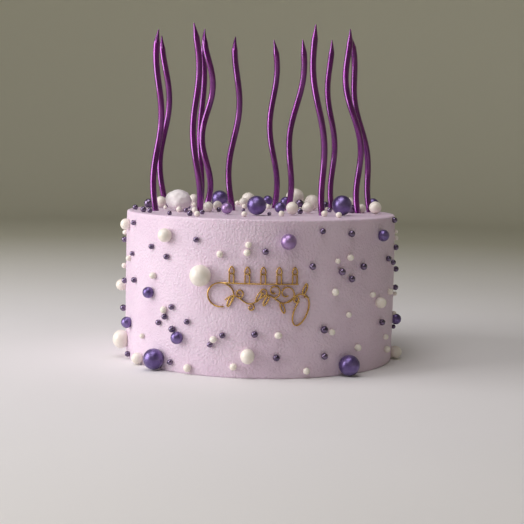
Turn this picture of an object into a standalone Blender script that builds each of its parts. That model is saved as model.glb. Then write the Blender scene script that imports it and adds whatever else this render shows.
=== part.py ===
"""Birthday cake with wavy candles, sugar pearls and a gold greeting charm.

Metres, +Z up. The origin is the centre of the cake's flat underside.
The charm faces -Y, and angles on the side are counted from there, positive towards +X.
"""

import math

import bmesh
import bpy
from mathutils import Matrix, Vector

MM = 0.001

# Cake
CAKE_RADIUS = 95.0 * MM
CAKE_HEIGHT = 102.0 * MM
BELLY = 0.6 * MM            # how much slimmer the side is at its top and bottom
RIM_ROUND = 1.6 * MM        # rounding of the iced top edge
FOOT_ROUND = 0.5 * MM
CAKE_STEPS = 48             # facets round the cake
SIDE_STEPS = 3              # bands up the side

# Fits
GAP = 0.35 * MM             # clearance between pieces that touch
SIDE_SINK = 0.18            # share of a pearl's diameter pressed into the side
HOLE_SPARE = 1.0 * MM       # depth of a candle's hole below the candle
HOLE_WIDER = 0.7 * MM       # radius of the hole's corners beyond the candle's radius

# Candles
CANDLE_RADIUS = 2.25 * MM
CANDLE_DEPTH = 25.0 * MM    # length pushed into the cake
CANDLE_TIP = 9.0 * MM       # length of the pointed end
TIP_SHARPNESS = 0.12        # radius of the point as a share of the candle's
CANDLE_STEPS = 12           # spans along one candle
CANDLE_ROUNDNESS = 1        # bevel resolution of a candle and of its hole

# Charm
CHARM_STANDOFF = 0.5 * MM   # from the widest part of the side
CHARM_THICKNESS = 1.2 * MM
STROKE = 0.85 * MM          # width of the charm's lines
CHARM_REACH = 36.0 * MM     # half the width that holds the charm
BEND_STEP = 8.0 * MM        # between the cuts that let it bend

LILAC = (0.72, 0.56, 0.72)
IVORY = (0.86, 0.80, 0.70)
VIOLET = (0.10, 0.05, 0.22)
LAVENDER = (0.33, 0.20, 0.42)
MAGENTA = (0.16, 0.01, 0.19)
GOLD = (0.62, 0.36, 0.12)

# Candles: base x and y, height above the icing, lean in x, swing (mm), wave phase (deg) and length (mm)
CANDLES = [
    (-73, -20, 124.5, 1.5, 2.3, 177, 87),
    (-72.5, 38, 125, 0.5, 3.1, 141, 92),
    (-44, -28, 128, -3, 2.3, 49, 90),
    (-46, 45, 123, 1, 1.2, 27, 81),
    (-40, 5, 127.5, 1, 3.4, 3, 71),
    (-22, 5, 122.5, 4, 2.7, 146, 87),
    (9, 40, 123.5, -2.5, 2.7, 16, 86),
    (17.5, 20, 122.5, 10.5, 2.7, 43, 86),
    (43.5, -38, 128, -11, 2.3, 253, 90),
    (54, 45, 125, -6.5, 2.1, 222, 76),
    (71.5, 0, 129, -15, 3.3, 243, 83),
    (80.5, 19, 127, -20.5, 2.0, 241, 72),
]

# Large pearls on the side: angle (deg), height and diameter (mm)
SIDE_PEARLS = {
    "violet": [
        (-68.5, 26, 8), (-49, 50.5, 7.6), (-44, 7.4, 14), (-33, 23.5, 8.2),
        (37, 7.2, 13.6), (57.5, 90.5, 8), (84, 28.5, 7.6),
        (116, 62, 8.2), (143, 7.4, 14), (-158, 20, 8.6), (-124, 52, 7.8),
    ],
    "lavender": [(10.5, 88.5, 10.2), (168, 83, 9)],
    "ivory": [
        (-84, 49, 8.5), (-76, 12.5, 12.4), (-73, 93, 7.6), (-57, 4.4, 8.1), (-39.5, 89.5, 9.4),
        (-22.5, 65.5, 13.4), (-4, 15, 9.5), (56.5, 45.5, 7.7), (84, 5, 9.2),
        (108, 86, 9.4), (130, 34, 8.6), (156, 56, 12.8), (-170, 40, 9), (-138, 84, 9.6),
    ],
}

# Large pearls lying on top: x, y and diameter (mm)
TOP_PEARLS = {
    "violet": [
        (-31, 45, 12.4), (-3, -50, 13), (5, 80, 7.8), (13, -21, 7.6),
        (18.5, 58, 8.2), (55, -33, 13.6), (82, 33, 9.4),
    ],
    "lavender": [(-23, -46, 7.8)],
    "ivory": [
        (-73, 21, 8.3), (-51, 57, 8.6), (-10, 79, 10), (26, 74, 14.2),
        (21, -38, 8.8), (32.5, -14, 7.7), (37, 27, 11.2), (67, 52, 8.8), (80.5, -4, 8.6),
    ],
}
TRUFFLE_PLACE = (-57.5, -15.5)        # x and y of the big uneven ball on top
TRUFFLE_HALF = (9.0, 8.0, 7.3)        # its half sizes

PEARL_COLOURS = {"violet": VIOLET, "lavender": LAVENDER, "ivory": IVORY}


def clear_scene():
    for old in list(bpy.data.objects):
        bpy.data.objects.remove(old, do_unlink=True)


def new_collection(name):
    made = bpy.data.collections.new(name)
    bpy.context.scene.collection.children.link(made)
    return made


def principled(name, colour, roughness, metallic=0.0):
    material = bpy.data.materials.new(name)
    material.use_nodes = True
    shader = material.node_tree.nodes["Principled BSDF"]
    shader.inputs["Base Color"].default_value = (*colour, 1.0)
    shader.inputs["Roughness"].default_value = roughness
    shader.inputs["Metallic"].default_value = metallic
    return material


def place(name, mesh, collection, material=None):
    made = bpy.data.objects.new(name, mesh)
    collection.objects.link(made)
    if material:
        mesh.materials.clear()
        mesh.materials.append(material)
    return made


def evaluated_mesh(source):
    """A plain mesh of the object as its modifiers leave it; the object itself is removed."""
    bpy.context.view_layer.update()
    graph = bpy.context.evaluated_depsgraph_get()
    mesh = bpy.data.meshes.new_from_object(source.evaluated_get(graph))
    mesh.transform(source.matrix_world)
    bpy.data.objects.remove(source, do_unlink=True)
    return mesh


def weld(mesh):
    work = bmesh.new()
    work.from_mesh(mesh)
    bmesh.ops.remove_doubles(work, verts=work.verts, dist=1e-6)
    bmesh.ops.recalc_face_normals(work, faces=work.faces)
    work.to_mesh(mesh)
    work.free()
    return mesh


# Cake ---------------------------------------------------------------------------------------

def side_radius(height):
    """The iced side bulges very slightly half way up."""
    off_middle = 2.0 * height / CAKE_HEIGHT - 1.0
    return CAKE_RADIUS - BELLY * off_middle * off_middle


def cake_profile():
    """The turned outline, from the top's centre down the side to the underside's centre."""
    shoulder = side_radius(CAKE_HEIGHT) - RIM_ROUND
    points = [(0.0, CAKE_HEIGHT)]
    for step in range(3):
        turn = math.radians(45 * step)
        points.append((shoulder + RIM_ROUND * math.sin(turn),
                       CAKE_HEIGHT - RIM_ROUND * (1.0 - math.cos(turn))))
    top = CAKE_HEIGHT - RIM_ROUND
    for step in range(1, SIDE_STEPS):
        height = top + (FOOT_ROUND - top) * step / SIDE_STEPS
        points.append((side_radius(height), height))
    points.append((side_radius(FOOT_ROUND), FOOT_ROUND))
    points.append((side_radius(0.0) - FOOT_ROUND, 0.0))
    points.append((0.0, 0.0))
    return points


def turned_cake(collection, material):
    outline = bmesh.new()
    corners = [outline.verts.new((radius, 0.0, height)) for radius, height in cake_profile()]
    for first, second in zip(corners, corners[1:]):
        outline.edges.new((first, second))
    mesh = bpy.data.meshes.new("cake_profile")
    outline.to_mesh(mesh)
    outline.free()
    blank = place("cake_blank", mesh, collection)
    screw = blank.modifiers.new("turn", "SCREW")
    screw.steps = CAKE_STEPS
    screw.render_steps = CAKE_STEPS
    screw.use_merge_vertices = True
    screw.merge_threshold = 0.00001
    return place("cake", weld(evaluated_mesh(blank)), collection, material)


def cut(body, cutter):
    subtract = body.modifiers.new("cut", "BOOLEAN")
    subtract.operation = "DIFFERENCE"
    subtract.object = cutter
    cutter.hide_render = True
    cutter.display_type = "WIRE"


# Pearls -------------------------------------------------------------------------------------

def ball(half_sizes, centre):
    """A round sugar ball as a mesh, centred where it lies."""
    bpy.ops.mesh.primitive_ico_sphere_add(subdivisions=2, radius=1.0)
    made = bpy.context.object
    mesh = made.data
    bpy.data.objects.remove(made, do_unlink=True)
    mesh.transform(Matrix.Translation(centre) @ Matrix.Diagonal((*half_sizes, 1.0)))
    mesh.shade_smooth()
    return mesh


def side_seat(angle, height, diameter):
    """Centre of a pearl pressed into the side."""
    reach = side_radius(height) + (0.5 - SIDE_SINK) * diameter
    turn = math.radians(angle)
    return Vector((reach * math.sin(turn), -reach * math.cos(turn), height))


def top_seat(across, along, diameter):
    """Centre of a pearl lying on top."""
    return Vector((across, along, CAKE_HEIGHT + GAP + diameter / 2))


def pearl_seats():
    """Every large pearl as its name, colour, half sizes and centre."""
    seats = []
    for colour in PEARL_COLOURS:
        for number, (angle, height, diameter) in enumerate(SIDE_PEARLS[colour], 1):
            half = (diameter * MM / 2,) * 3
            centre = side_seat(angle, height * MM, diameter * MM)
            seats.append((f"pearl_{colour}_side_{number:02d}", colour, half, centre))
        for number, (across, along, diameter) in enumerate(TOP_PEARLS[colour], 1):
            half = (diameter * MM / 2,) * 3
            centre = top_seat(across * MM, along * MM, diameter * MM)
            seats.append((f"pearl_{colour}_top_{number:02d}", colour, half, centre))
    half = tuple(size * MM for size in TRUFFLE_HALF)
    centre = top_seat(TRUFFLE_PLACE[0] * MM, TRUFFLE_PLACE[1] * MM, 2 * half[2])
    seats.append(("truffle_ivory", "ivory", half, centre))
    return seats


def make_pearls(collection, cutters, cake, materials):
    sockets = bmesh.new()
    for name, colour, half, centre in pearl_seats():
        place(name, ball(half, centre), collection, materials[colour])
        if centre.z > CAKE_HEIGHT:
            continue
        socket = ball(tuple(size + GAP for size in half), centre)
        sockets.from_mesh(socket)
        bpy.data.meshes.remove(socket)
    mesh = bpy.data.meshes.new("pearl_sockets")
    sockets.to_mesh(mesh)
    sockets.free()
    cut(cake, place("pearl_sockets", mesh, cutters))


# Candles ------------------------------------------------------------------------------------

def candle_path(row, low, high, steps):
    """Points along a candle's axis, a slim helix that leans a little, from low to high."""
    across, along, tall, lean, swing, phase, wave = row
    points = []
    for step in range(steps + 1):
        rise = low + (high - low) * step / steps
        turn = math.tau * rise / (wave * MM) + math.radians(phase)
        share = rise / (tall * MM)
        points.append(Vector((
            (across + lean * share + swing * math.sin(turn)) * MM,
            (along + swing * math.cos(turn)) * MM,
            CAKE_HEIGHT + rise)))
    return points


def rod(name, points, radii, roundness, collection):
    """A round rod along the points, as a closed mesh with 2 * roundness + 4 sides."""
    curve = bpy.data.curves.new(name, "CURVE")
    curve.dimensions = "3D"
    curve.twist_mode = "MINIMUM"
    curve.bevel_depth = 1.0
    curve.bevel_resolution = roundness
    curve.use_fill_caps = True
    line = curve.splines.new("POLY")
    line.points.add(len(points) - 1)
    for knot, point, radius in zip(line.points, points, radii):
        knot.co = (*point, 1.0)
        knot.radius = radius
    source = place(name, curve, collection)
    mesh = weld(evaluated_mesh(source))
    bpy.data.curves.remove(curve)
    mesh.shade_smooth()
    return mesh


def make_candles(collection, cutters, cake, material):
    holes = bmesh.new()
    for number, row in enumerate(CANDLES, 1):
        name = f"candle_{number:02d}"
        tall = row[2] * MM
        points = candle_path(row, -CANDLE_DEPTH, tall - CANDLE_TIP, CANDLE_STEPS)
        radii = [CANDLE_RADIUS] * len(points)
        points.append(candle_path(row, tall, tall, 1)[0])
        radii.append(CANDLE_RADIUS * TIP_SHARPNESS)
        mesh = rod(name, points, radii, CANDLE_ROUNDNESS, collection)
        place(name, mesh, collection, material)
        # The hole follows the candle's own spans up to just above the icing.
        span = (tall - CANDLE_TIP + CANDLE_DEPTH) / CANDLE_STEPS
        spans = math.ceil(CANDLE_DEPTH / span)
        shaft = candle_path(row, -CANDLE_DEPTH, -CANDLE_DEPTH + span * spans, spans)
        floor = candle_path(row, -CANDLE_DEPTH - HOLE_SPARE, 0.0, 1)[0]
        width = [CANDLE_RADIUS + HOLE_WIDER] * (spans + 2)
        hole = rod("hole", [floor] + shaft, width, CANDLE_ROUNDNESS, cutters)
        holes.from_mesh(hole)
        bpy.data.meshes.remove(hole)
    mesh = bpy.data.meshes.new("candle_holes")
    holes.to_mesh(mesh)
    holes.free()
    cut(cake, place("candle_holes", mesh, cutters))


# Charm --------------------------------------------------------------------------------------
# Drawn flat in millimetres, right of the middle and above the underside, then bent to the side.

BAR_HEIGHT = 61.3
BAR_ENDS = (-25.0, 25.0)
ROW_ENDS = (-18.0, 22.5)     # middles of the first and last little candle
LITTLE_CANDLES = 5
LITTLE_CANDLE_HALF = 1.45
LITTLE_CANDLE_TOP = 67.3
FLAME_HALF = 1.5
FLAME_TALL = 4.7
STEM_ENDS = (-22.0, 32.0)
STEM_HEIGHT = 50.5
STEM_SWING = 2.6
SWIRL = (-25.0, 53.6, 8.7, 7.7)      # centre and half sizes of the big oval on the left
TAIL = (27.0, 44.0, 4.4, 9.7)        # the same for the loop that hangs on the right
PETAL_HALVES = (3.6, 1.1)            # half sizes of the slim petals that lean off the stem
PETALS = ((0.08, -110), (0.37, 62), (0.52, -118), (0.66, -70), (0.93, 70))  # share of stem, tilt (deg)


def oval(across, up, half_across, half_up, start, end, steps, tilt=0.0):
    """Points on a tilted oval from start to end degrees."""
    points = []
    for step in range(steps + 1):
        turn = math.radians(start + (end - start) * step / steps)
        right = half_across * math.cos(turn)
        rise = half_up * math.sin(turn)
        lean = math.radians(tilt)
        points.append((across + right * math.cos(lean) - rise * math.sin(lean),
                       up + right * math.sin(lean) + rise * math.cos(lean)))
    return points


def curl(across, up, radius, start, turns, steps):
    """A spiral that winds in from its start angle to its centre."""
    points = []
    for step in range(steps + 1):
        share = step / steps
        turn = math.radians(start + 360 * turns * share)
        reach = radius * (1.0 - 0.72 * share)
        points.append((across + reach * math.cos(turn), up + reach * math.sin(turn)))
    return points


def flame(across, foot):
    """The outline of a small flame standing on a little candle."""
    points = []
    for step in range(9):
        turn = math.radians(90 + 45 * step)
        width = FLAME_HALF * math.cos(turn) * (1.0 - 0.45 * math.sin(turn))
        points.append((across + width, foot + FLAME_TALL * 0.5 * (1.0 + math.sin(turn))))
    return points


def stem(share):
    """The flowing stem under the bar, at a share of its length."""
    across = STEM_ENDS[0] + (STEM_ENDS[1] - STEM_ENDS[0]) * share
    return across, STEM_HEIGHT + STEM_SWING * math.sin(math.tau * 2.5 * share) + 2.0 * share


def petal(share, tilt, steps):
    """A slim closed loop that grows from the stem at a share of its length."""
    across, up = stem(share)
    long_half, slim_half = PETAL_HALVES
    lean = math.radians(tilt)
    return oval(across + long_half * math.cos(lean), up + long_half * math.sin(lean),
                long_half, slim_half, 180, 540, steps, tilt)


def charm_strokes():
    """The charm's lines: little candles on a bar, over a scroll with curls."""
    strokes = [[(BAR_ENDS[0], BAR_HEIGHT), (BAR_ENDS[1], BAR_HEIGHT)]]
    pitch = (ROW_ENDS[1] - ROW_ENDS[0]) / (LITTLE_CANDLES - 1)
    for number in range(LITTLE_CANDLES):
        middle = ROW_ENDS[0] + pitch * number
        left = middle - LITTLE_CANDLE_HALF
        right = middle + LITTLE_CANDLE_HALF
        strokes.append([(left, BAR_HEIGHT), (left, LITTLE_CANDLE_TOP),
                        (right, LITTLE_CANDLE_TOP), (right, BAR_HEIGHT)])
        strokes.append(flame(middle, LITTLE_CANDLE_TOP))
    strokes.append([stem(step / 20) for step in range(21)])
    strokes.append(oval(*SWIRL, -75, -400, 16))
    for share, side, radius in ((0.17, 1, 3.0), (0.31, -1, 2.4), (0.45, 1, 2.9), (0.58, 1, None),
                                (0.73, 1, None), (0.84, -1, 2.3)):
        across, up = stem(share)
        if radius is None:          # the tall curls reach up to the bar
            radius = (BAR_HEIGHT - up) / 2
        strokes.append(curl(across, up + side * radius, radius, -90 * side, side * 1.1, 9))
    for share, tilt in PETALS:
        strokes.append(petal(share, tilt, 8))
    strokes.append(oval(*TAIL, 110, -215, 14, tilt=-22))
    return strokes


def stroke_mesh(points, number, collection):
    """One line of the charm as a flat bar; each is a hair thicker than the last."""
    curve = bpy.data.curves.new("stroke", "CURVE")
    curve.dimensions = "3D"
    curve.twist_mode = "Z_UP"
    curve.extrude = CHARM_THICKNESS / 2 + number * 0.004 * MM
    line = curve.splines.new("POLY")
    closed = (Vector(points[0]) - Vector(points[-1])).length < 0.01
    if closed:
        points = points[:-1]
    line.points.add(len(points) - 1)
    for knot, (across, up) in zip(line.points, points):
        knot.co = (across * MM, up * MM, 0.0, 1.0)
    line.use_cyclic_u = closed
    source = place("stroke", curve, collection)
    ribbon = weld(evaluated_mesh(source))
    bpy.data.curves.remove(curve)
    bar = place("stroke", ribbon, collection)
    wall = bar.modifiers.new("width", "SOLIDIFY")
    wall.thickness = STROKE
    wall.offset = 0.0
    wall.use_even_offset = True
    return weld(evaluated_mesh(bar))


def slice_flat(mesh):
    """Upright cuts through the flat charm, so that its long lines can bend."""
    work = bmesh.new()
    work.from_mesh(mesh)
    across = -CHARM_REACH
    while across < CHARM_REACH:
        bmesh.ops.bisect_plane(work, geom=work.verts[:] + work.edges[:] + work.faces[:], dist=1e-6,
                               plane_co=(across, 0.0, 0.0), plane_no=(1.0, 0.0, 0.0))
        across += BEND_STEP
    work.to_mesh(mesh)
    work.free()


def bend_round_cake(mesh):
    """Lays the flat charm round the side, facing -Y."""
    middle = CAKE_RADIUS + CHARM_STANDOFF + CHARM_THICKNESS / 2
    for corner in mesh.vertices:
        across, up, out = corner.co
        turn = across / middle
        reach = middle + out
        corner.co = (reach * math.sin(turn), -reach * math.cos(turn), up)


def make_charm(collection, cutters, material):
    strokes = charm_strokes()
    charm = place("charm", stroke_mesh(strokes[0], 0, cutters), collection)
    for number, points in enumerate(strokes[1:], 1):
        piece = place("piece", stroke_mesh(points, number, cutters), cutters)
        join = charm.modifiers.new("join", "BOOLEAN")
        join.operation = "UNION"
        join.object = piece
        mesh = evaluated_mesh(charm)
        bpy.data.objects.remove(piece, do_unlink=True)
        charm = place("charm", mesh, collection)
    mesh = charm.data
    bpy.data.objects.remove(charm, do_unlink=True)
    slice_flat(mesh)
    bend_round_cake(mesh)
    place("charm", weld(mesh), collection, material)


# The whole ----------------------------------------------------------------------------------

def build():
    clear_scene()
    parts = new_collection("birthday_cake")
    cutters = new_collection("cutters")
    cake = turned_cake(parts, principled("lilac_buttercream", LILAC, 0.6))
    finishes = {name: principled(f"{name}_pearl", colour, 0.35) for name, colour in PEARL_COLOURS.items()}
    make_pearls(parts, cutters, cake, finishes)
    make_candles(parts, cutters, cake, principled("metallic_wax", MAGENTA, 0.3, 0.6))
    make_charm(parts, cutters, principled("gold_mirror", GOLD, 0.15, 1.0))


build()
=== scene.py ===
"""Birthday cake with wavy candles, sugar pearls and a gilt charm: the finished looks.

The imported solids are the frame. Each section finishes one piece, or one kind of piece, in the
order in which a decorator puts the cake together. Metres, +Z up, and the charm faces -Y.
"""

import math
import random

import bmesh
import bpy
from mathutils import Matrix, Vector


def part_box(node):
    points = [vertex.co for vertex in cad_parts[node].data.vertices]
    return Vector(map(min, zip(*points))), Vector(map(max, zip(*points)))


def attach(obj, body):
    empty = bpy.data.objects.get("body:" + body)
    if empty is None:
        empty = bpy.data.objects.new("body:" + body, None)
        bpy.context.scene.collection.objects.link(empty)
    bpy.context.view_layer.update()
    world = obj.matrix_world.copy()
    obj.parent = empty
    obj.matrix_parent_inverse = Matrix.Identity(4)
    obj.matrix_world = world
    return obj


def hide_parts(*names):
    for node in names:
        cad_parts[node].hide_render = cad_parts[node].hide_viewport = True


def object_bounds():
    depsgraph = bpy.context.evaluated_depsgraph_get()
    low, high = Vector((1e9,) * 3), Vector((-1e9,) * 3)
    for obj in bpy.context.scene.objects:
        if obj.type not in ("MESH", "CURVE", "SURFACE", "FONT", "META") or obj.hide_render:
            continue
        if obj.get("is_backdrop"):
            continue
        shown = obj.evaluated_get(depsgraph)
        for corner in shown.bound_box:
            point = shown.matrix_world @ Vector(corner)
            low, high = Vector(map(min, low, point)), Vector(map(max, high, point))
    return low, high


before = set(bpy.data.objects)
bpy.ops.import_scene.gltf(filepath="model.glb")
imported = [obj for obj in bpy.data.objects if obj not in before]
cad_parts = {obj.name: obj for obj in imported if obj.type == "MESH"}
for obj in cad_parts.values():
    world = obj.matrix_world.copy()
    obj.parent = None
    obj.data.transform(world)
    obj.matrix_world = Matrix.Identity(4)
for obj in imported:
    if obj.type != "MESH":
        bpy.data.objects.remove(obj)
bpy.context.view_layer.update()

# Iced cake ----------------------------------------------------------------------------------
# Layers of sponge under lilac buttercream, uncut, so only the icing shows. The icing is spread
# on and turned against a scraper, which leaves a straight side, a crisp rim and a fine pebbled
# face. Where a pearl or a candle is pressed in, it is pushed up into a small lip.

MM = 0.001
cake_low, cake_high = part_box("cake")
RADIUS = (cake_high.x - cake_low.x) / 2
TOP = cake_high.z
BELLY = 0.6 * MM             # how much slimmer the side is at its top and bottom
RIM_ROUND = 1.2 * MM
FOOT_ROUND = 0.5 * MM
ROUND_STEPS = 560
SIDE_ROWS = 96
TOP_ROWS = 36
ARC_ROWS = 6
AXLE = 10.0 * MM             # radius of the circle that the outline is swept along
LIP_HIGH = 0.35 * MM
LIP_WIDE = 0.7 * MM
CANDLE_MARK = 2.25 * MM      # half size of the mark that a candle leaves
WAVY = 0.45 * MM             # how far the smoothed icing strays from true
WAVY_STRETCH = (45.0, 45.0, 20.0)
PEBBLES = 0.28 * MM          # height of the fine drag marks on it
PEBBLE_STRETCH = (300.0, 300.0, 240.0)
CREASE = math.radians(50)    # edges that fold by more than this stay sharp
LILAC_PALE = (0.79, 0.64, 0.76, 1.0)
LILAC_DEEP = (0.74, 0.585, 0.71, 1.0)


def side_radius(height):
    """The side bulges very slightly half way up."""
    off_middle = 2.0 * height / TOP - 1.0
    return RADIUS - BELLY * off_middle * off_middle


def icing_outline():
    """Radius and height of the turned outline, from the middle of the top to that of the foot."""
    shoulder = side_radius(TOP) - RIM_ROUND
    points = [(shoulder * row / TOP_ROWS, TOP) for row in range(TOP_ROWS)]
    for row in range(ARC_ROWS + 1):
        turn = 0.5 * math.pi * row / ARC_ROWS
        points.append((shoulder + RIM_ROUND * math.sin(turn),
                       TOP - RIM_ROUND * (1.0 - math.cos(turn))))
    rim = TOP - RIM_ROUND
    for row in range(1, SIDE_ROWS + 1):
        height = rim + (FOOT_ROUND - rim) * row / SIDE_ROWS
        points.append((side_radius(height), height))
    points.append((side_radius(0.0) - FOOT_ROUND, 0.0))
    points.append((0.0, 0.0))
    return points


def line_mesh(name, points, linked=True):
    """A mesh of the points alone, or of the line through them."""
    edges = [(number, number + 1) for number in range(len(points) - 1)] if linked else []
    mesh = bpy.data.meshes.new(name)
    mesh.from_pydata(points, edges, [])
    return mesh


def add_node(tree, kind, sockets=None, **options):
    """Adds a node with its options set; sockets maps each input to a value or another's output."""
    made = tree.nodes.new(kind)
    for option, value in options.items():
        setattr(made, option, value)
    for key, value in (sockets or {}).items():
        if isinstance(value, bpy.types.NodeSocket):
            tree.links.new(value, made.inputs[key])
        else:
            made.inputs[key].default_value = value
    return made


def calc(tree, operation, *terms):
    """The result of a Math node on numbers or outputs."""
    return add_node(tree, "ShaderNodeMath", dict(enumerate(terms)), operation=operation).outputs[0]


def vector_calc(tree, operation, *terms):
    """The result of a Vector Math node: a number for a length or distance, else a vector."""
    made = add_node(tree, "ShaderNodeVectorMath", dict(enumerate(terms)), operation=operation)
    return made.outputs["Value" if operation in ("LENGTH", "DISTANCE") else "Vector"]


def shape_tree(name, **inputs):
    """A geometry tree with named inputs; returns it with its input sockets."""
    tree = bpy.data.node_groups.new(name, "GeometryNodeTree")
    tree.interface.new_socket("Geometry", in_out="INPUT", socket_type="NodeSocketGeometry")
    for label, kind in inputs.items():
        tree.interface.new_socket(label, in_out="INPUT", socket_type="NodeSocket" + kind)
    tree.interface.new_socket("Geometry", in_out="OUTPUT", socket_type="NodeSocketGeometry")
    return tree, tree.nodes.new("NodeGroupInput").outputs


def close_tree(tree, geometry, finish):
    """Ends a geometry tree: real geometry, smooth but for its creases, with its material."""
    whole = add_node(tree, "GeometryNodeRealizeInstances", {"Geometry": geometry})
    smooth = add_node(tree, "GeometryNodeSetShadeSmooth", {"Geometry": whole.outputs[0]})
    fold = tree.nodes.new("GeometryNodeInputMeshEdgeAngle").outputs[0]
    creased = add_node(tree, "GeometryNodeSetShadeSmooth",
                       {"Geometry": smooth.outputs[0], "Shade Smooth": False,
                        "Selection": calc(tree, "GREATER_THAN", fold, CREASE)}, domain="EDGE")
    coated = add_node(tree, "GeometryNodeSetMaterial",
                      {"Geometry": creased.outputs[0], "Material": finish})
    add_node(tree, "NodeGroupOutput", {"Geometry": coated.outputs[0]})


def grow(name, start, tree, **values):
    """Runs a geometry tree on the starting mesh and returns the piece as a plain mesh."""
    piece = bpy.data.objects.new(name, start)
    bpy.context.scene.collection.objects.link(piece)
    modifier = piece.modifiers.new("shape", "NODES")
    modifier.node_group = tree
    for item in tree.interface.items_tree:
        if item.in_out == "INPUT" and item.name in values:
            modifier[item.identifier] = values[item.name]
    bpy.context.view_layer.update()
    graph = bpy.context.evaluated_depsgraph_get()
    mesh = bpy.data.meshes.new_from_object(piece.evaluated_get(graph))
    piece.modifiers.remove(modifier)
    piece.data = mesh
    bpy.data.meshes.remove(start)
    mesh.name = name
    return piece


def patchy_group():
    """A finish that drifts between two colours in soft patches and has a fine grain."""
    group = bpy.data.node_groups.new("patchy finish", "ShaderNodeTree")
    for label, kind in (("Pale", "Color"), ("Deep", "Color"), ("Patch Scale", "Float"),
                        ("Grain Scale", "Float"), ("Smooth", "Float"), ("Dull", "Float")):
        group.interface.new_socket(label, in_out="INPUT", socket_type="NodeSocket" + kind)
    for label, kind in (("Colour", "Color"), ("Roughness", "Float"), ("Grain", "Float")):
        group.interface.new_socket(label, in_out="OUTPUT", socket_type="NodeSocket" + kind)
    given = group.nodes.new("NodeGroupInput").outputs
    place = group.nodes.new("ShaderNodeTexCoord").outputs["Object"]
    patches = add_node(group, "ShaderNodeTexNoise",
                       {"Vector": place, "Scale": given["Patch Scale"], "Detail": 3.0})
    spread = add_node(group, "ShaderNodeMapRange", {0: patches.outputs[0], 1: 0.35, 2: 0.65})
    colour = add_node(group, "ShaderNodeMix", {0: spread.outputs[0], 6: given["Pale"],
                                               7: given["Deep"]}, data_type="RGBA")
    grain = add_node(group, "ShaderNodeTexNoise",
                     {"Vector": place, "Scale": given["Grain Scale"], "Detail": 2.0})
    gloss = add_node(group, "ShaderNodeMapRange", {0: grain.outputs[0], 1: 0.3, 2: 0.7,
                                                   3: given["Smooth"], 4: given["Dull"]})
    add_node(group, "NodeGroupOutput", {"Colour": colour.outputs[2],
                                        "Roughness": gloss.outputs[0],
                                        "Grain": grain.outputs[0]})
    return group


PATCHY = patchy_group()


def patchy_material(name, pale, deep, patch, grain, smooth, dull, relief, **constants):
    """A material on the patchy finish; patch and grain are sizes, relief is the grain's height."""
    material = bpy.data.materials.new(name)
    material.use_nodes = True
    tree = material.node_tree
    shader = tree.nodes["Principled BSDF"]
    for socket, value in constants.items():
        shader.inputs[socket.replace("_", " ")].default_value = value
    finish = add_node(tree, "ShaderNodeGroup", node_tree=PATCHY)
    for socket, value in (("Pale", pale), ("Deep", deep), ("Patch Scale", 1 / patch),
                          ("Grain Scale", 1 / grain), ("Smooth", smooth), ("Dull", dull)):
        finish.inputs[socket].default_value = value
    bump = add_node(tree, "ShaderNodeBump", {"Height": finish.outputs["Grain"],
                                             "Distance": relief, "Strength": 1.0})
    tree.links.new(finish.outputs["Colour"], shader.inputs["Base Color"])
    tree.links.new(finish.outputs["Roughness"], shader.inputs["Roughness"])
    tree.links.new(bump.outputs[0], shader.inputs["Normal"])
    return material


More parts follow.
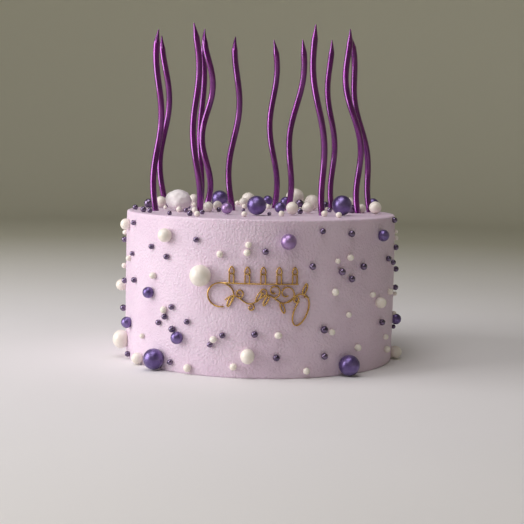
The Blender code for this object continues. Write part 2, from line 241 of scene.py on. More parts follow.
def icing_tree():
    """Sweeps the outline round the cake, then raises the lips, soft waves and fine pebbles."""
    tree, given = shape_tree("turned icing", Pressed="Object", Axle="Float", Steps="Int",
                             Lip_High="Float", Lip_Wide="Float", Wavy="Float", Pebbles="Float",
                             Finish="Material")
    outline = add_node(tree, "GeometryNodeMeshToCurve", {"Mesh": given["Geometry"]})
    round_path = add_node(tree, "GeometryNodeCurvePrimitiveCircle",
                          {"Resolution": given["Steps"], "Radius": given["Axle"]})
    swept = add_node(tree, "GeometryNodeCurveToMesh", {"Curve": round_path.outputs[0],
                                                       "Profile Curve": outline.outputs[0]})
    closed = add_node(tree, "GeometryNodeMergeByDistance",
                      {"Geometry": swept.outputs[0], "Distance": 0.01 * MM})
    here = tree.nodes.new("GeometryNodeInputPosition").outputs[0]
    pressed = add_node(tree, "GeometryNodeObjectInfo", {"Object": given["Pressed"]})
    nearest = add_node(tree, "GeometryNodeSampleNearest",
                       {"Geometry": pressed.outputs["Geometry"], "Sample Position": here})
    size = add_node(tree, "GeometryNodeInputNamedAttribute", {"Name": "half"})
    centre = add_node(tree, "GeometryNodeSampleIndex",
                      {"Geometry": pressed.outputs["Geometry"], "Value": here,
                       "Index": nearest.outputs[0]}, data_type="FLOAT_VECTOR")
    half = add_node(tree, "GeometryNodeSampleIndex",
                    {"Geometry": pressed.outputs["Geometry"], "Value": size.outputs[0],
                     "Index": nearest.outputs[0]})
    away = calc(tree, "SUBTRACT", vector_calc(tree, "DISTANCE", here, centre.outputs[0]),
                half.outputs[0])
    share = calc(tree, "DIVIDE", away, given["Lip_Wide"])
    lip = calc(tree, "MULTIPLY", calc(tree, "EXPONENT", calc(tree, "MULTIPLY", calc(
        tree, "MULTIPLY", share, share), -1.0)), given["Lip_High"])
    stray = 0.0
    for stretch, height in ((WAVY_STRETCH, "Wavy"), (PEBBLE_STRETCH, "Pebbles")):
        drawn = vector_calc(tree, "MULTIPLY", here, stretch)
        noise = add_node(tree, "ShaderNodeTexNoise", {"Vector": drawn, "Scale": 1.0, "Detail": 2.0})
        level = calc(tree, "MULTIPLY", calc(tree, "SUBTRACT", noise.outputs[0], 0.5), given[height])
        stray = calc(tree, "ADD", level, stray)
    above_foot = calc(tree, "GREATER_THAN", add_node(
        tree, "ShaderNodeSeparateXYZ", {0: here}).outputs["Z"], 1e-5)
    rise = calc(tree, "MULTIPLY", calc(tree, "ADD", lip, stray), above_foot)
    outward = tree.nodes.new("GeometryNodeInputNormal").outputs[0]
    push = add_node(tree, "ShaderNodeVectorMath", {0: outward, "Scale": rise}, operation="SCALE")
    moved = add_node(tree, "GeometryNodeSetPosition",
                     {"Geometry": closed.outputs[0], "Offset": push.outputs[0]})
    close_tree(tree, moved.outputs[0], given["Finish"])
    return tree


def pressed_places():
    """Centre and half size of each large pearl, and of each candle where it enters the icing."""
    places = []
    for name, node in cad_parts.items():
        low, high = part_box(name)
        if name.startswith(("pearl", "truffle")):
            places.append(((low + high) / 2, (high.z - low.z) / 2))
        elif name.startswith("candle"):
            ring = [corner.co for corner in node.data.vertices if abs(corner.co.z - TOP) < 5 * MM]
            middle = sum(ring, Vector()) / len(ring)
            places.append((Vector((middle.x, middle.y, TOP)), CANDLE_MARK))
    return places


places = pressed_places()
marks = line_mesh("pressed_places", [centre for centre, half in places], linked=False)
mark_sizes = marks.attributes.new("half", "FLOAT", "POINT")
mark_sizes.data.foreach_set("value", [half for centre, half in places])
pressed = bpy.data.objects.new("pressed_places", marks)
bpy.context.scene.collection.objects.link(pressed)
lilac = patchy_material("lilac_buttercream", LILAC_PALE, LILAC_DEEP, patch=28 * MM,
                        grain=1.5 * MM, smooth=0.42, dull=0.60, relief=0.62 * MM,
                        Subsurface_Weight=0.12, Subsurface_Scale=2.5 * MM,
                        Subsurface_Radius=(1.0, 0.6, 0.8))
# The sweep turns the outline upside down, so its heights go in negative.
outline = line_mesh("icing", [(radius - AXLE, -height, 0.0)
                              for radius, height in icing_outline()])
icing = grow("buttercream", outline, icing_tree(), Pressed=pressed, Axle=AXLE, Steps=ROUND_STEPS,
             Lip_High=LIP_HIGH, Lip_Wide=LIP_WIDE, Wavy=WAVY, Pebbles=PEBBLES, Finish=lilac)
bpy.data.objects.remove(pressed)
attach(icing, "root")
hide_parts("cake")

# Large pearls -------------------------------------------------------------------------------
# Puffed rice balls coated in chocolate and rolled in lustre powder, from berry size up, and one
# hand-rolled truffle. Those on the side are pressed in, and those on top lie on the icing.

TRUFFLE_STRETCH = (9.0 / 7.3, 8.0 / 7.3)     # its width and depth beside its height
TRUFFLE_BUMPS = 0.20
FINE_FROM = 6.0 * MM                         # half size from which a pearl gets finer faces
LUMP = 6.0 * MM                              # size of the lumps in a pearl's coat
DULLER = 0.12                                # how much rougher a coat is in its dull spots
PEARL_LOOKS = {
    "violet": dict(pale=(0.22, 0.16, 0.38, 1.0), deep=(0.12, 0.075, 0.24, 1.0), metallic=0.75,
                   relief=0.02, bumps=0.006, oval=0.02, coat=0.35, smooth=0.30),
    "lavender": dict(pale=(0.44, 0.29, 0.54, 1.0), deep=(0.30, 0.18, 0.40, 1.0), metallic=0.6,
                     relief=0.02, bumps=0.006, oval=0.02, coat=0.35, smooth=0.30),
    "ivory": dict(pale=(0.93, 0.88, 0.80, 1.0), deep=(0.87, 0.80, 0.70, 1.0), metallic=0.0,
                  relief=0.04, bumps=0.04, oval=0.06, coat=0.3, smooth=0.32),
    "small violet": dict(pale=(0.20, 0.14, 0.25, 1.0), deep=(0.08, 0.05, 0.12, 1.0),
                         metallic=0.85, relief=0.005, bumps=0.006, oval=0.02, coat=1.0,
                         smooth=0.20),
    "white": dict(pale=(0.98, 0.95, 0.94, 1.0), deep=(0.97, 0.92, 0.91, 1.0), metallic=0.0,
                  relief=0.06, bumps=TRUFFLE_BUMPS, oval=0.0, coat=0.1, smooth=0.40),
}


def pearl_tree():
    """A round ball on each point, a little oval and lumpy."""
    tree, given = shape_tree("rolled pearls", Fineness="Int", Oval="Float", Bumps="Float",
                             Seed="Int", Finish="Material")
    half = add_node(tree, "GeometryNodeInputNamedAttribute", {"Name": "half"},
                    data_type="FLOAT_VECTOR")
    ball = add_node(tree, "GeometryNodeMeshIcoSphere",
                    {"Radius": 1.0, "Subdivisions": given["Fineness"]})
    stretch = add_node(tree, "FunctionNodeRandomValue", {"Seed": given["Seed"]},
                       data_type="FLOAT_VECTOR")
    stretch.inputs[0].default_value = (-1.0, -1.0, -1.0)
    swell = add_node(tree, "ShaderNodeVectorMath", {0: stretch.outputs[0], "Scale": given["Oval"]},
                     operation="SCALE").outputs[0]
    size = vector_calc(tree, "MULTIPLY_ADD", half.outputs[0], swell, half.outputs[0])
    rolled = add_node(tree, "GeometryNodeInstanceOnPoints",
                      {"Points": given["Geometry"], "Instance": ball.outputs[0], "Scale": size})
    whole = add_node(tree, "GeometryNodeRealizeInstances", {"Geometry": rolled.outputs[0]})
    here = tree.nodes.new("GeometryNodeInputPosition").outputs[0]
    noise = add_node(tree, "ShaderNodeTexNoise",
                     {"Vector": here, "Scale": 1 / LUMP, "Detail": 1.5})
    reach = calc(tree, "MULTIPLY", vector_calc(tree, "LENGTH", half.outputs[0]), given["Bumps"])
    lump = calc(tree, "MULTIPLY", calc(tree, "SUBTRACT", noise.outputs[0], 0.5), reach)
    outward = tree.nodes.new("GeometryNodeInputNormal").outputs[0]
    push = add_node(tree, "ShaderNodeVectorMath", {0: outward, "Scale": lump}, operation="SCALE")
    moved = add_node(tree, "GeometryNodeSetPosition",
                     {"Geometry": whole.outputs[0], "Offset": push.outputs[0]})
    close_tree(tree, moved.outputs[0], given["Finish"])
    return tree


PEARL_TREE = pearl_tree()
pearl_finish = {}
for colour, look in PEARL_LOOKS.items():
    pearl_finish[colour] = patchy_material(
        colour.replace(" ", "_") + "_pearl", look["pale"], look["deep"], patch=5 * MM,
        grain=0.9 * MM, smooth=look["smooth"], dull=look["smooth"] + DULLER,
        relief=look["relief"] * MM, Metallic=look["metallic"], Coat_Weight=look["coat"],
        Coat_Roughness=0.15)


def pearls(name, look, seats, fineness, seed):
    """One piece of pearls of a colour; each seat is a centre and a half size or half sizes."""
    mesh = line_mesh(name, [centre for centre, half in seats], linked=False)
    sizes = mesh.attributes.new("half", "FLOAT_VECTOR", "POINT")
    for number, (centre, half) in enumerate(seats):
        sizes.data[number].vector = Vector((1, 1, 1)) * half if isinstance(half, float) else half
    piece = grow(name, mesh, PEARL_TREE, Fineness=fineness, Seed=seed, Finish=pearl_finish[look],
                 Oval=PEARL_LOOKS[look]["oval"], Bumps=PEARL_LOOKS[look]["bumps"])
    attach(piece, "root")
    return piece


for number, name in enumerate(sorted(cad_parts)):
    if not name.startswith(("pearl", "truffle")):
        continue
    low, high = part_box(name)
    half = (high.z - low.z) / 2
    colour = name.split("_")[1]
    look = colour
    fine = 5 if half > FINE_FROM else 4
    if name.startswith("truffle"):
        look = "white"
        half = Vector((TRUFFLE_STRETCH[0] * half, TRUFFLE_STRETCH[1] * half, half))
    made = pearls("rolled_" + name, look, [((low + high) / 2, half)], fine, number)
    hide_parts(name)

# Small pearls -------------------------------------------------------------------------------
# Hard sugar pearls of 3 to 7 mm with a metallic skin. They are pressed into the side by hand
# and spill over the top, some in twos and threes. The far side is set out the same way.

SIDE_SUNK = 0.18             # share of a pearl's width pressed into the side
TOP_SUNK = 0.06
SMALL_SIDE = {               # angle from the front (deg), height and width (mm)
    "violet": [
        (-84, 32.5, 4.9), (-84, 81, 4.2), (-78.5, 53, 4.2), (-70.5, 3.5, 4.1), (-65, 74, 3.4),
        (-64, 95, 3.8), (-62, 56.5, 4.1), (-48.5, 81, 3.8), (-43.5, 31.5, 3.9), (-40, 36, 4.1),
        (-39.5, 75.5, 4), (-37, 6.5, 3.9), (-36.5, 43, 3.9), (-36, 28.5, 4.6), (-29, 34.5, 3.9),
        (-25.5, 88, 3.8), (-19, 21, 3.8), (-14, 27.5, 4.1), (-1.5, 29, 4.4), (2, 82, 4.4),
        (7, 14, 4.5), (20.5, 72.5, 4.5), (24.5, 95, 4), (26, 31.5, 5.1), (26.5, 14, 4.5),
        (33.5, 68.5, 4.8), (38, 93, 4.5), (38.5, 63.5, 4.6), (45, 71, 4.6), (60, 31.5, 4.4),
        (65, 74, 4.1), (72.5, 70.5, 3.8), (73.5, 99.5, 4.1), (79, 80, 4.2), (84, 51, 4.2),
        (84, 23, 3.2), (84, 64, 4.2),
    ],
    "ivory": [
        (-84, 86, 3.5), (-84, 62.5, 3.9), (-69.5, 70, 3.8), (-54.5, 20, 3.5), (-47, 62, 4.6),
        (-40.5, 40.5, 4.6), (-28.5, 4.3, 5.2), (-17.5, 24.5, 4.8), (-15.5, 79.5, 4.4),
        (-9.5, 7.5, 4.8), (-5, 81, 4.4), (-4.5, 86, 4.1), (7.5, 28.5, 4.8), (19, 5, 4.5),
        (29.5, 29.5, 4.2), (30.5, 55.5, 4.8), (31.5, 75.5, 3.4), (37.5, 40, 3.9),
        (37.5, 77.5, 4.5), (43, 17.5, 4.5), (51.5, 51.5, 4), (64.5, 20.5, 4.1), (66.5, 11.5, 4.8),
        (68, 51, 4.4), (84, 46.5, 3.2), (84, 86, 3.5), (84, 32.5, 3.5), (84, 90.5, 2.8),
    ],
}
SMALL_TOP = {                # across, along and width (mm)
    "violet": [
        (-88.5, -7.5, 3.9), (-80, -35.5, 4.1), (-82, 23, 6.9), (-75, -42.5, 3.6), (-60, -65, 3.1),
        (-51.5, -30, 3.4), (-52.5, 18, 2.9), (-46.5, -68, 3.9), (-49.5, 47.5, 3),
        (-39.5, -47, 3.4), (-42, 78, 3.9), (-29.5, -13, 3.5), (-12.5, -5, 2.5), (5.5, -48, 2.7),
        (27, -19.5, 4.2), (29, 61, 6.8), (48.7, 60, 5.7), (49, 9.5, 3.6), (64.5, 4, 6.5),
    ],
    "ivory": [
        (-68.5, 6.5, 2.9), (-56.5, -26.5, 3.9), (-45.5, -30.5, 4.1), (-41.5, -73, 3.9),
        (-37, -15, 7.5), (-31.5, 14, 6.9), (-18.5, 84, 3.9), (-13.5, 68, 7.3), (-12.5, 34.5, 3.7),
        (-11, -65.5, 3.9), (5, 37.5, 3.7), (13.5, -54, 4), (42.5, -46, 4.4), (48, 29.5, 2.7),
        (51.5, -57, 4.2), (72, 11, 6.9),
    ],
}
FAR_SIDE = (97.0, 263.0)     # angles of the side that the tables leave bare
FAR_SIDE_HEIGHTS = (0.04, 0.97)      # shares of the cake's height
FAR_SIDE_WIDTHS = (3.4, 4.9)
FAR_SIDE_PEARLS = 66
CLUSTERED = 0.4              # share of those that touch the one before
TOUCH_GAP = 0.2 * MM         # room between two that touch
FAR_TOP_ACROSS = (-0.8, 0.8)         # shares of the cake's radius
FAR_TOP_ALONG = (0.1, 0.9)
FAR_TOP_REACH = 0.9
FAR_TOP_WIDTHS = (2.6, 4.0)
FAR_TOP_PEARLS = 12
CLEAR = 1.2 * MM             # least room between two that don't touch


def side_seat(angle, height, width):
    """Centre of a pearl pressed into the side."""
    reach = side_radius(height) + (0.5 - SIDE_SUNK) * width
    turn = math.radians(angle)
    return Vector((reach * math.sin(turn), -reach * math.cos(turn), height))


def top_seat(across, along, width):
    """Centre of a pearl lying on top."""
    return Vector((across, along, TOP + (0.5 - TOP_SUNK) * width))


side_seats = {}
top_seats = {}
for colour in ("violet", "ivory"):
    side_seats[colour] = [(side_seat(angle, height * MM, width * MM), width * MM / 2)
                          for angle, height, width in SMALL_SIDE[colour]]
    top_seats[colour] = [(top_seat(across * MM, along * MM, width * MM), width * MM / 2)
                         for across, along, width in SMALL_TOP[colour]]
taken = places + sum(side_seats.values(), []) + sum(top_seats.values(), [])
draw = random.Random(12)


def is_free(centre, half, room):
    """Whether a pearl here keeps this much room from every mark and pearl so far."""
    return all((centre - other).length > half + size + room for other, size in taken)


angle, height, width = 180.0, 50 * MM, 4 * MM
found = 0
while found < FAR_SIDE_PEARLS:
    last_width = width
    width = draw.uniform(*FAR_SIDE_WIDTHS) * MM
    touching = draw.random() < CLUSTERED
    if touching:
        way = draw.uniform(0.0, math.tau)
        step = (width + last_width) / 2 + TOUCH_GAP
        angle += math.degrees(step * math.cos(way) / RADIUS)
        height += step * math.sin(way)
    else:
        angle = draw.uniform(*FAR_SIDE)
        height = draw.uniform(*FAR_SIDE_HEIGHTS) * TOP
    centre = side_seat(angle, height, width)
    inside = FAR_SIDE[0] < angle < FAR_SIDE[1] and width < height < TOP - width / 2
    if inside and is_free(centre, width / 2, 0.0 if touching else CLEAR):
        seat = (centre, width / 2)
        side_seats[draw.choice(("violet", "violet", "ivory"))].append(seat)
        taken.append(seat)
        found += 1
found = 0
while found < FAR_TOP_PEARLS:
    width = draw.uniform(*FAR_TOP_WIDTHS) * MM
    across = draw.uniform(*FAR_TOP_ACROSS) * RADIUS
    along = draw.uniform(*FAR_TOP_ALONG) * RADIUS
    centre = top_seat(across, along, width)
    if centre.xy.length < FAR_TOP_REACH * RADIUS and is_free(centre, width / 2, CLEAR):
        seat = (centre, width / 2)
        top_seats[draw.choice(("violet", "ivory"))].append(seat)
        taken.append(seat)
        found += 1
for number, (colour, look) in enumerate((("violet", "small violet"), ("ivory", "ivory"))):
    pearls(f"small_{colour}_pearls_side", look, side_seats[colour], 3, 100 + number)
    pearls(f"small_{colour}_pearls_top", look, top_seats[colour], 3, 200 + number)

# Candles ------------------------------------------------------------------------------------
# Twelve thin wavy candles, each a slim helix of wax with a metallic magenta skin and a sharpened
# tip. A quarter of the length that shows is pushed into the cake to hold it up.

CANDLE_RADIUS = 2.25 * MM
CANDLE_DEPTH = 25.0 * MM
CANDLE_TIP = 9.5 * MM
CANDLE_POINT = 0.14          # radius of the point beside the candle's
CANDLE_SIDES = 20
CANDLE_RINGS = 150
WAX_PALE = (0.20, 0.007, 0.22, 1.0)
WAX_DEEP = (0.14, 0.003, 0.17, 1.0)
# Each candle: foot x and y, height, lean in x, swing (mm), phase (deg) and wave (mm).
CANDLES = [
    (-73, -20, 124.5, 1.5, 2.3, 177, 87),
    (-72.5, 38, 125, 0.5, 3.1, 141, 92),
    (-44, -28, 128, -3, 2.3, 49, 90),
    (-46, 45, 123, 1, 1.2, 27, 81),
    (-40, 5, 127.5, 1, 3.4, 3, 71),
    (-22, 5, 122.5, 4, 2.7, 146, 87),
    (9, 40, 123.5, -2.5, 2.7, 16, 86),
    (17.5, 20, 122.5, 10.5, 2.7, 43, 86),
    (43.5, -38, 128, -11, 2.3, 253, 90),
    (54, 45, 125, -6.5, 2.1, 222, 76),
    (71.5, 0, 129, -15, 3.3, 243, 83),
    (80.5, 19, 127, -20.5, 2.0, 241, 72),
]


def candle_tree():
    """A round rod along a leaning helix, tapered to a point."""
    tree, given = shape_tree("wavy candle", Foot="Vector", Tall="Float", Depth="Float",
                             Lean="Float", Swing="Float", Phase="Float", Wave="Float",
                             Radius="Float", Tip="Float", Point="Float", Sides="Int",
                             Rings="Int", Finish="Material")
    low = add_node(tree, "ShaderNodeCombineXYZ", {"Z": calc(tree, "MULTIPLY", given["Depth"], -1.0)})
    high = add_node(tree, "ShaderNodeCombineXYZ", {"Z": given["Tall"]})
    straight = add_node(tree, "GeometryNodeCurvePrimitiveLine",
                        {"Start": low.outputs[0], "End": high.outputs[0]})
    ringed = add_node(tree, "GeometryNodeResampleCurve",
                      {"Curve": straight.outputs[0], "Count": given["Rings"]})
    here = tree.nodes.new("GeometryNodeInputPosition").outputs[0]
    rise = add_node(tree, "ShaderNodeSeparateXYZ", {0: here}).outputs["Z"]
    into_tip = add_node(tree, "ShaderNodeMapRange",
                        {0: rise, 1: calc(tree, "SUBTRACT", given["Tall"], given["Tip"]),
                         2: given["Tall"], 3: 1.0, 4: given["Point"]})
    slim = add_node(tree, "GeometryNodeSetCurveRadius",
                    {"Curve": ringed.outputs[0], "Radius": into_tip.outputs[0]})
    turn = calc(tree, "ADD", calc(tree, "DIVIDE", calc(tree, "MULTIPLY", rise, math.tau),
                                  given["Wave"]), given["Phase"])
    share = calc(tree, "DIVIDE", rise, given["Tall"])
    across = calc(tree, "ADD", calc(tree, "MULTIPLY", given["Lean"], share),
                  calc(tree, "MULTIPLY", given["Swing"], calc(tree, "SINE", turn)))
    along = calc(tree, "MULTIPLY", given["Swing"], calc(tree, "COSINE", turn))
    bend = add_node(tree, "ShaderNodeCombineXYZ", {"X": across, "Y": along})
    bent = add_node(tree, "GeometryNodeSetPosition",
                    {"Geometry": slim.outputs[0],
                     "Offset": vector_calc(tree, "ADD", bend.outputs[0], given["Foot"])})
    section = add_node(tree, "GeometryNodeCurvePrimitiveCircle",
                       {"Resolution": given["Sides"], "Radius": given["Radius"]})
    slimness = tree.nodes.new("GeometryNodeInputRadius").outputs[0]
    rod = add_node(tree, "GeometryNodeCurveToMesh",
                   {"Curve": bent.outputs[0], "Profile Curve": section.outputs[0],
                    "Scale": slimness, "Fill Caps": True})
    close_tree(tree, rod.outputs[0], given["Finish"])
    return tree


wax = patchy_material("metallic_wax", WAX_PALE, WAX_DEEP, patch=9 * MM, grain=4 * MM,
                      smooth=0.20, dull=0.26, relief=0.002 * MM, Metallic=0.8,
                      Coat_Weight=1.0, Coat_Roughness=0.05, Coat_IOR=1.6)
CANDLE_TREE = candle_tree()
for number, (across, along, tall, lean, swing, phase, wave) in enumerate(CANDLES, 1):
    blank = line_mesh("blank", [(0.0, 0.0, 0.0)], linked=False)
    candle = grow(f"wavy_candle_{number:02d}", blank, CANDLE_TREE,
                  Foot=(across * MM, along * MM, TOP), Tall=tall * MM, Depth=CANDLE_DEPTH,
                  Lean=lean * MM, Swing=swing * MM, Phase=math.radians(phase), Wave=wave * MM,
                  Radius=CANDLE_RADIUS, Tip=CANDLE_TIP, Point=CANDLE_POINT, Sides=CANDLE_SIDES,
                  Rings=CANDLE_RINGS, Finish=wax)
    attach(candle, "root")
    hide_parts(f"candle_{number:02d}")

# Charm --------------------------------------------------------------------------------------
# A greeting charm laser-cut from thin gold mirror acrylic, pressed against the icing: a row of
# little candles on a bar over a flowing scroll. It is drawn flat in millimetres, right of the
# middle and above the underside, and then bent to the side of the cake.

BAR_HEIGHT = 61.3
BAR_ENDS = (-25.0, 25.0)
ROW_ENDS = (-18.0, 22.5)     # middles of the first and last little candle
LITTLE_CANDLES = 5
LITTLE_CANDLE_HALF = 1.45
LITTLE_CANDLE_TOP = 67.3
FLAME_HALF = 1.5
FLAME_TALL = 4.7
STEM_ENDS = (-22.0, 32.0)
STEM_HEIGHT = 50.5
STEM_SWING = 2.6
SWIRL = (-25.0, 53.6, 8.7, 7.7)      # centre and half sizes of the big oval on the left
TAIL = (27.0, 44.0, 4.4, 9.7)        # the same for the loop that hangs on the right
PETAL_HALVES = (3.6, 1.1)            # half sizes of the slim petals that lean off the stem
PETALS = ((0.08, -110), (0.37, 62), (0.52, -118), (0.66, -70), (0.93, 70))  # share, tilt (deg)
# Each curl: share of the stem, above (1) or below (-1) it, and radius; the tall ones, without a
# radius, reach up to the bar.
CURLS = ((0.17, 1, 3.0), (0.31, -1, 2.4), (0.45, 1, 2.9), (0.58, 1, None), (0.73, 1, None),
         (0.84, -1, 2.3))
POINT_SPACING = 1.2          # between the points on a straight line
STROKE = 0.85 * MM
STROKE_EDGE = 0.16 * MM      # the slant that the polisher leaves along each edge
HAIR = 0.0015                # each line is this share thicker, so that no two faces tie
CHARM_THICK = 1.2 * MM
CHARM_STANDOFF = 0.5 * MM    # behind the charm, from the widest part of the side
GOLD_PALE = (0.66, 0.42, 0.15, 1.0)
GOLD_DEEP = (0.52, 0.30, 0.08, 1.0)


def oval(across, up, half_across, half_up, start, end, steps, tilt=0.0):
    """Points on a tilted oval from start to end degrees."""
    lean = Matrix.Rotation(math.radians(tilt), 2)
    points = []
    for step in range(steps + 1):
        turn = math.radians(start + (end - start) * step / steps)
        arm = lean @ Vector((half_across * math.cos(turn), half_up * math.sin(turn)))
        points.append((across + arm.x, up + arm.y))
    return points


def curl(across, up, radius, start, turns, steps):
    """A spiral that winds in from its start angle."""
    points = []
    for step in range(steps + 1):
        share = step / steps
        turn = math.radians(start + 360 * turns * share)
        reach = radius * (1.0 - 0.72 * share)
        points.append((across + reach * math.cos(turn), up + reach * math.sin(turn)))
    return points


def flame(across, foot, steps):
    """The outline of a small flame standing on a little candle."""
    points = []
    for step in range(steps + 1):
        turn = math.radians(90 + 360 * step / steps)
        width = FLAME_HALF * math.cos(turn) * (1.0 - 0.45 * math.sin(turn))
        points.append((across + width, foot + FLAME_TALL * 0.5 * (1.0 + math.sin(turn))))
    return points


def stem(share):
    """The flowing stem under the bar, at a share of its length."""
    across = STEM_ENDS[0] + (STEM_ENDS[1] - STEM_ENDS[0]) * share
    return across, STEM_HEIGHT + STEM_SWING * math.sin(math.tau * 2.5 * share) + 2.0 * share


def petal(share, tilt, steps):
    """A slim closed loop that grows from the stem at a share of its length."""
    across, up = stem(share)
    long_half, slim_half = PETAL_HALVES
    lean = math.radians(tilt)
    return oval(across + long_half * math.cos(lean), up + long_half * math.sin(lean),
                long_half, slim_half, 180, 540, steps, tilt)


def straight(*corners):
    """The line through the corners, with points close enough together to bend."""
    points = []
    for first, last in zip(corners, corners[1:]):
        steps = math.ceil((Vector(last) - Vector(first)).length / POINT_SPACING)
        points += [tuple(Vector(first).lerp(Vector(last), step / steps)) for step in range(steps)]
    return points + [corners[-1]]


def charm_strokes():
    """The charm's lines: little candles on a bar, over a scroll with curls and petals."""
    strokes = [straight((BAR_ENDS[0], BAR_HEIGHT), (BAR_ENDS[1], BAR_HEIGHT))]
    pitch = (ROW_ENDS[1] - ROW_ENDS[0]) / (LITTLE_CANDLES - 1)
    for number in range(LITTLE_CANDLES):
        middle = ROW_ENDS[0] + pitch * number
        left = middle - LITTLE_CANDLE_HALF
        right = middle + LITTLE_CANDLE_HALF
        strokes.append(straight((left, BAR_HEIGHT), (left, LITTLE_CANDLE_TOP),
                                (right, LITTLE_CANDLE_TOP), (right, BAR_HEIGHT)))
        strokes.append(flame(middle, LITTLE_CANDLE_TOP, 24))
    strokes.append([stem(step / 80) for step in range(81)])
    strokes.append(oval(*SWIRL, -75, -400, 72))
    for share, side, radius in CURLS:
        across, up = stem(share)
        if radius is None:
            radius = (BAR_HEIGHT - up) / 2
        strokes.append(curl(across, up + side * radius, radius, -90 * side, side * 1.1, 40))
    for share, tilt in PETALS:
        strokes.append(petal(share, tilt, 32))
    strokes.append(oval(*TAIL, 110, -215, 60, tilt=-22))
    return strokes


def charm_tree():
    """Gives the lines a flat section, fuses them into one sheet and bends it round the side."""
    tree, given = shape_tree("bent charm", Stroke="Float", Thick="Float", Edge="Float",
                             Bend="Float", Finish="Material")
    block = add_node(tree, "GeometryNodeCurvePrimitiveQuadrilateral",
                     {"Width": given["Stroke"], "Height": given["Thick"]})
    section = add_node(tree, "GeometryNodeFilletCurve",
                       {"Curve": block.outputs[0], "Radius": given["Edge"]})
    lines = add_node(tree, "GeometryNodeMeshToCurve", {"Mesh": given["Geometry"]})
    flat = add_node(tree, "GeometryNodeSetCurveNormal", {"Curve": lines.outputs[0]}, mode="Z_UP")
    hair = add_node(tree, "GeometryNodeInputNamedAttribute", {"Name": "hair"})
    bars = add_node(tree, "GeometryNodeCurveToMesh",
                    {"Curve": flat.outputs[0], "Profile Curve": section.outputs[0],
                     "Scale": hair.outputs[0], "Fill Caps": True})
    fused = add_node(tree, "GeometryNodeMeshBoolean", {"Self Intersection": True},
                     operation="UNION", solver="EXACT")
    tree.links.new(bars.outputs[0], fused.inputs["Mesh 2"])
    clean = add_node(tree, "GeometryNodeMergeByDistance",
                     {"Geometry": fused.outputs[0], "Distance": 0.003 * MM})
    here = tree.nodes.new("GeometryNodeInputPosition").outputs[0]
    flat_place = add_node(tree, "ShaderNodeSeparateXYZ", {0: here}).outputs
    turn = calc(tree, "DIVIDE", flat_place["X"], given["Bend"])
    reach = calc(tree, "ADD", given["Bend"], flat_place["Z"])
    round_place = add_node(tree, "ShaderNodeCombineXYZ", {
        "X": calc(tree, "MULTIPLY", reach, calc(tree, "SINE", turn)),
        "Y": calc(tree, "MULTIPLY", calc(tree, "MULTIPLY", reach, calc(tree, "COSINE", turn)),
                  -1.0),
        "Z": flat_place["Y"]})
    bent = add_node(tree, "GeometryNodeSetPosition",
                    {"Geometry": clean.outputs[0], "Position": round_place.outputs[0]})
    close_tree(tree, bent.outputs[0], given["Finish"])
    return tree


lines = bmesh.new()
hair = lines.verts.layers.float.new("hair")
for number, points in enumerate(charm_strokes()):
    closed = (Vector(points[0]) - Vector(points[-1])).length < 0.01
    if closed:
        points = points[:-1]
    corners = [lines.verts.new((across * MM, up * MM, 0.0)) for across, up in points]
    for corner in corners:
        corner[hair] = 1.0 + HAIR * number
    for first, second in zip(corners, corners[1:] + corners[:1] if closed else corners[1:]):
        lines.edges.new((first, second))
drawing = bpy.data.meshes.new("charm_lines")
lines.to_mesh(drawing)
lines.free()
gold = patchy_material("gold_mirror", GOLD_PALE, GOLD_DEEP, patch=7 * MM, grain=2.5 * MM,
                       smooth=0.07, dull=0.14, relief=0.004 * MM, Metallic=1.0)
charm = grow("gilt_charm", drawing, charm_tree(), Stroke=STROKE, Thick=CHARM_THICK,
             Edge=STROKE_EDGE, Bend=RADIUS + CHARM_STANDOFF + CHARM_THICK / 2, Finish=gold)
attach(charm, "root")
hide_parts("charm")

# Studio -------------------------------------------------------------------------------------
# A pale round sweep that darkens to greige away from the cake, a window-like light on the left,
# softer ones above and high in front, and a dim room all round. None of it is part of the cake.

SWEEP_FLAT = 1.5             # radius of the flat floor
SWEEP_BEND = 0.5
SWEEP_TALL = 1.6
SWEEP_STEPS = 96
PAPER_PALE = (0.84, 0.83, 0.82, 1.0)
PAPER_DEEP = (0.81, 0.80, 0.79, 1.0)
WALL_GREIGE = (0.60, 0.59, 0.47, 1.0)
GREIGE_FROM = 0.25           # radii over which the pale paper turns greige
GREIGE_TO = 1.1
ROOM_COLOUR = (1.0, 0.96, 0.80, 1.0)
ROOM_STRENGTH = 0.048
CAMERA_LENS = 82.44
CAMERA_PLACE = (0.0, -0.850972, 0.149008)
CAMERA_YAW = -0.0016
CAMERA_DIP = 0.0972          # how far it looks down from level
CAMERA_ROLL = 0.0206


def sweep_outline():
    """Radius and height of the floor, its bend and the wall."""
    points = [(0.0, 0.0), (SWEEP_FLAT, 0.0)]
    for step in range(1, 13):
        turn = 0.5 * math.pi * step / 12
        points.append((SWEEP_FLAT + SWEEP_BEND * math.sin(turn),
                       SWEEP_BEND * (1.0 - math.cos(turn))))
    points.append((SWEEP_FLAT + SWEEP_BEND, SWEEP_TALL))
    return points


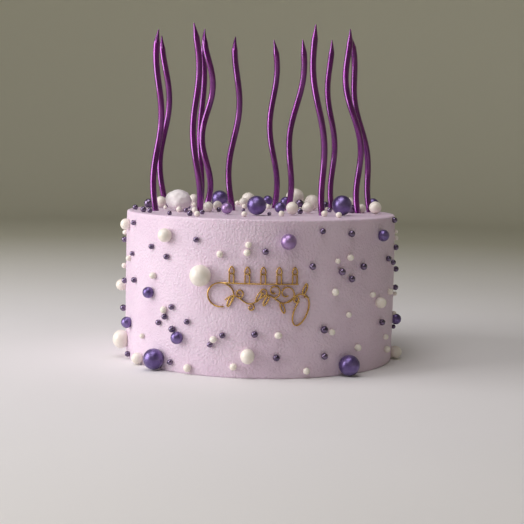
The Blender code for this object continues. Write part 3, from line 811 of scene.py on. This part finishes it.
sweep_line = line_mesh("sweep", [(radius, 0.0, height) for radius, height in sweep_outline()])
stand = bpy.data.objects.new("sweep", sweep_line)
bpy.context.scene.collection.objects.link(stand)
turned = stand.modifiers.new("turn", "SCREW")
turned.steps = SWEEP_STEPS
turned.render_steps = SWEEP_STEPS
turned.use_merge_vertices = True
turned.merge_threshold = 0.0001
turned.use_smooth_shade = True
paper = patchy_material("pale_paper", PAPER_PALE, PAPER_DEEP, patch=0.4, grain=3 * MM,
                        smooth=0.7, dull=0.8, relief=0.02 * MM)
paint = paper.node_tree
spot = paint.nodes.new("ShaderNodeTexCoord").outputs["Object"]
flat_spot = vector_calc(paint, "MULTIPLY", spot, (1.0, 1.0, 0.0))
outer = add_node(paint, "ShaderNodeMapRange", {0: vector_calc(paint, "LENGTH", flat_spot),
                                               1: GREIGE_FROM, 2: GREIGE_TO})
paint_shader = paint.nodes["Principled BSDF"]
pale = paint_shader.inputs["Base Color"].links[0].from_socket
blend = add_node(paint, "ShaderNodeMix", {0: outer.outputs[0], 6: pale, 7: WALL_GREIGE},
                 data_type="RGBA")
paint.links.new(blend.outputs[2], paint_shader.inputs["Base Color"])
stand.data.materials.append(paper)
stand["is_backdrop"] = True


def panel(name, azimuth, elevation, distance, wide, tall, power, colour):
    """A soft light panel that faces the cake; azimuth 0 is in front, positive to the right."""
    lamp = bpy.data.lights.new(name, "AREA")
    lamp.shape = "RECTANGLE"
    lamp.size = wide
    lamp.size_y = tall
    lamp.energy = power
    lamp.color = colour
    turn = math.radians(azimuth)
    lift = math.radians(elevation)
    away = Vector((math.sin(turn) * math.cos(lift), -math.cos(turn) * math.cos(lift),
                   math.sin(lift)))
    made = bpy.data.objects.new(name, lamp)
    made.location = Vector((0.0, 0.0, TOP)) + away * distance
    made.rotation_mode = "QUATERNION"
    made.rotation_quaternion = away.to_track_quat("Z", "Y")
    made.visible_camera = False
    bpy.context.scene.collection.objects.link(made)


panel("window", azimuth=-76, elevation=16, distance=1.2, wide=0.9, tall=1.0, power=13.8,
      colour=(1.0, 0.97, 1.0))
panel("front_fill", azimuth=-25, elevation=42, distance=1.4, wide=0.6, tall=0.5, power=1.9,
      colour=(1.0, 0.98, 0.94))
panel("skylight", azimuth=-40, elevation=76, distance=1.3, wide=0.9, tall=0.9, power=7.4,
      colour=(1.0, 0.95, 1.0))
room = bpy.data.worlds.new("room")
room.use_nodes = True
air = room.node_tree.nodes["Background"]
air.inputs["Color"].default_value = ROOM_COLOUR
air.inputs["Strength"].default_value = ROOM_STRENGTH
bpy.context.scene.world = room
bpy.context.scene.view_settings.view_transform = "Standard"

lens = bpy.data.cameras.new("camera")
lens.lens = CAMERA_LENS
camera = bpy.data.objects.new("camera", lens)
camera.matrix_world = (Matrix.Translation(CAMERA_PLACE)
                       @ Matrix.Rotation(CAMERA_YAW, 4, "Z")
                       @ Matrix.Rotation(0.5 * math.pi - CAMERA_DIP, 4, "X")
                       @ Matrix.Rotation(CAMERA_ROLL, 4, "Z"))
bpy.context.scene.collection.objects.link(camera)
bpy.context.scene.camera = camera

low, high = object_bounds()
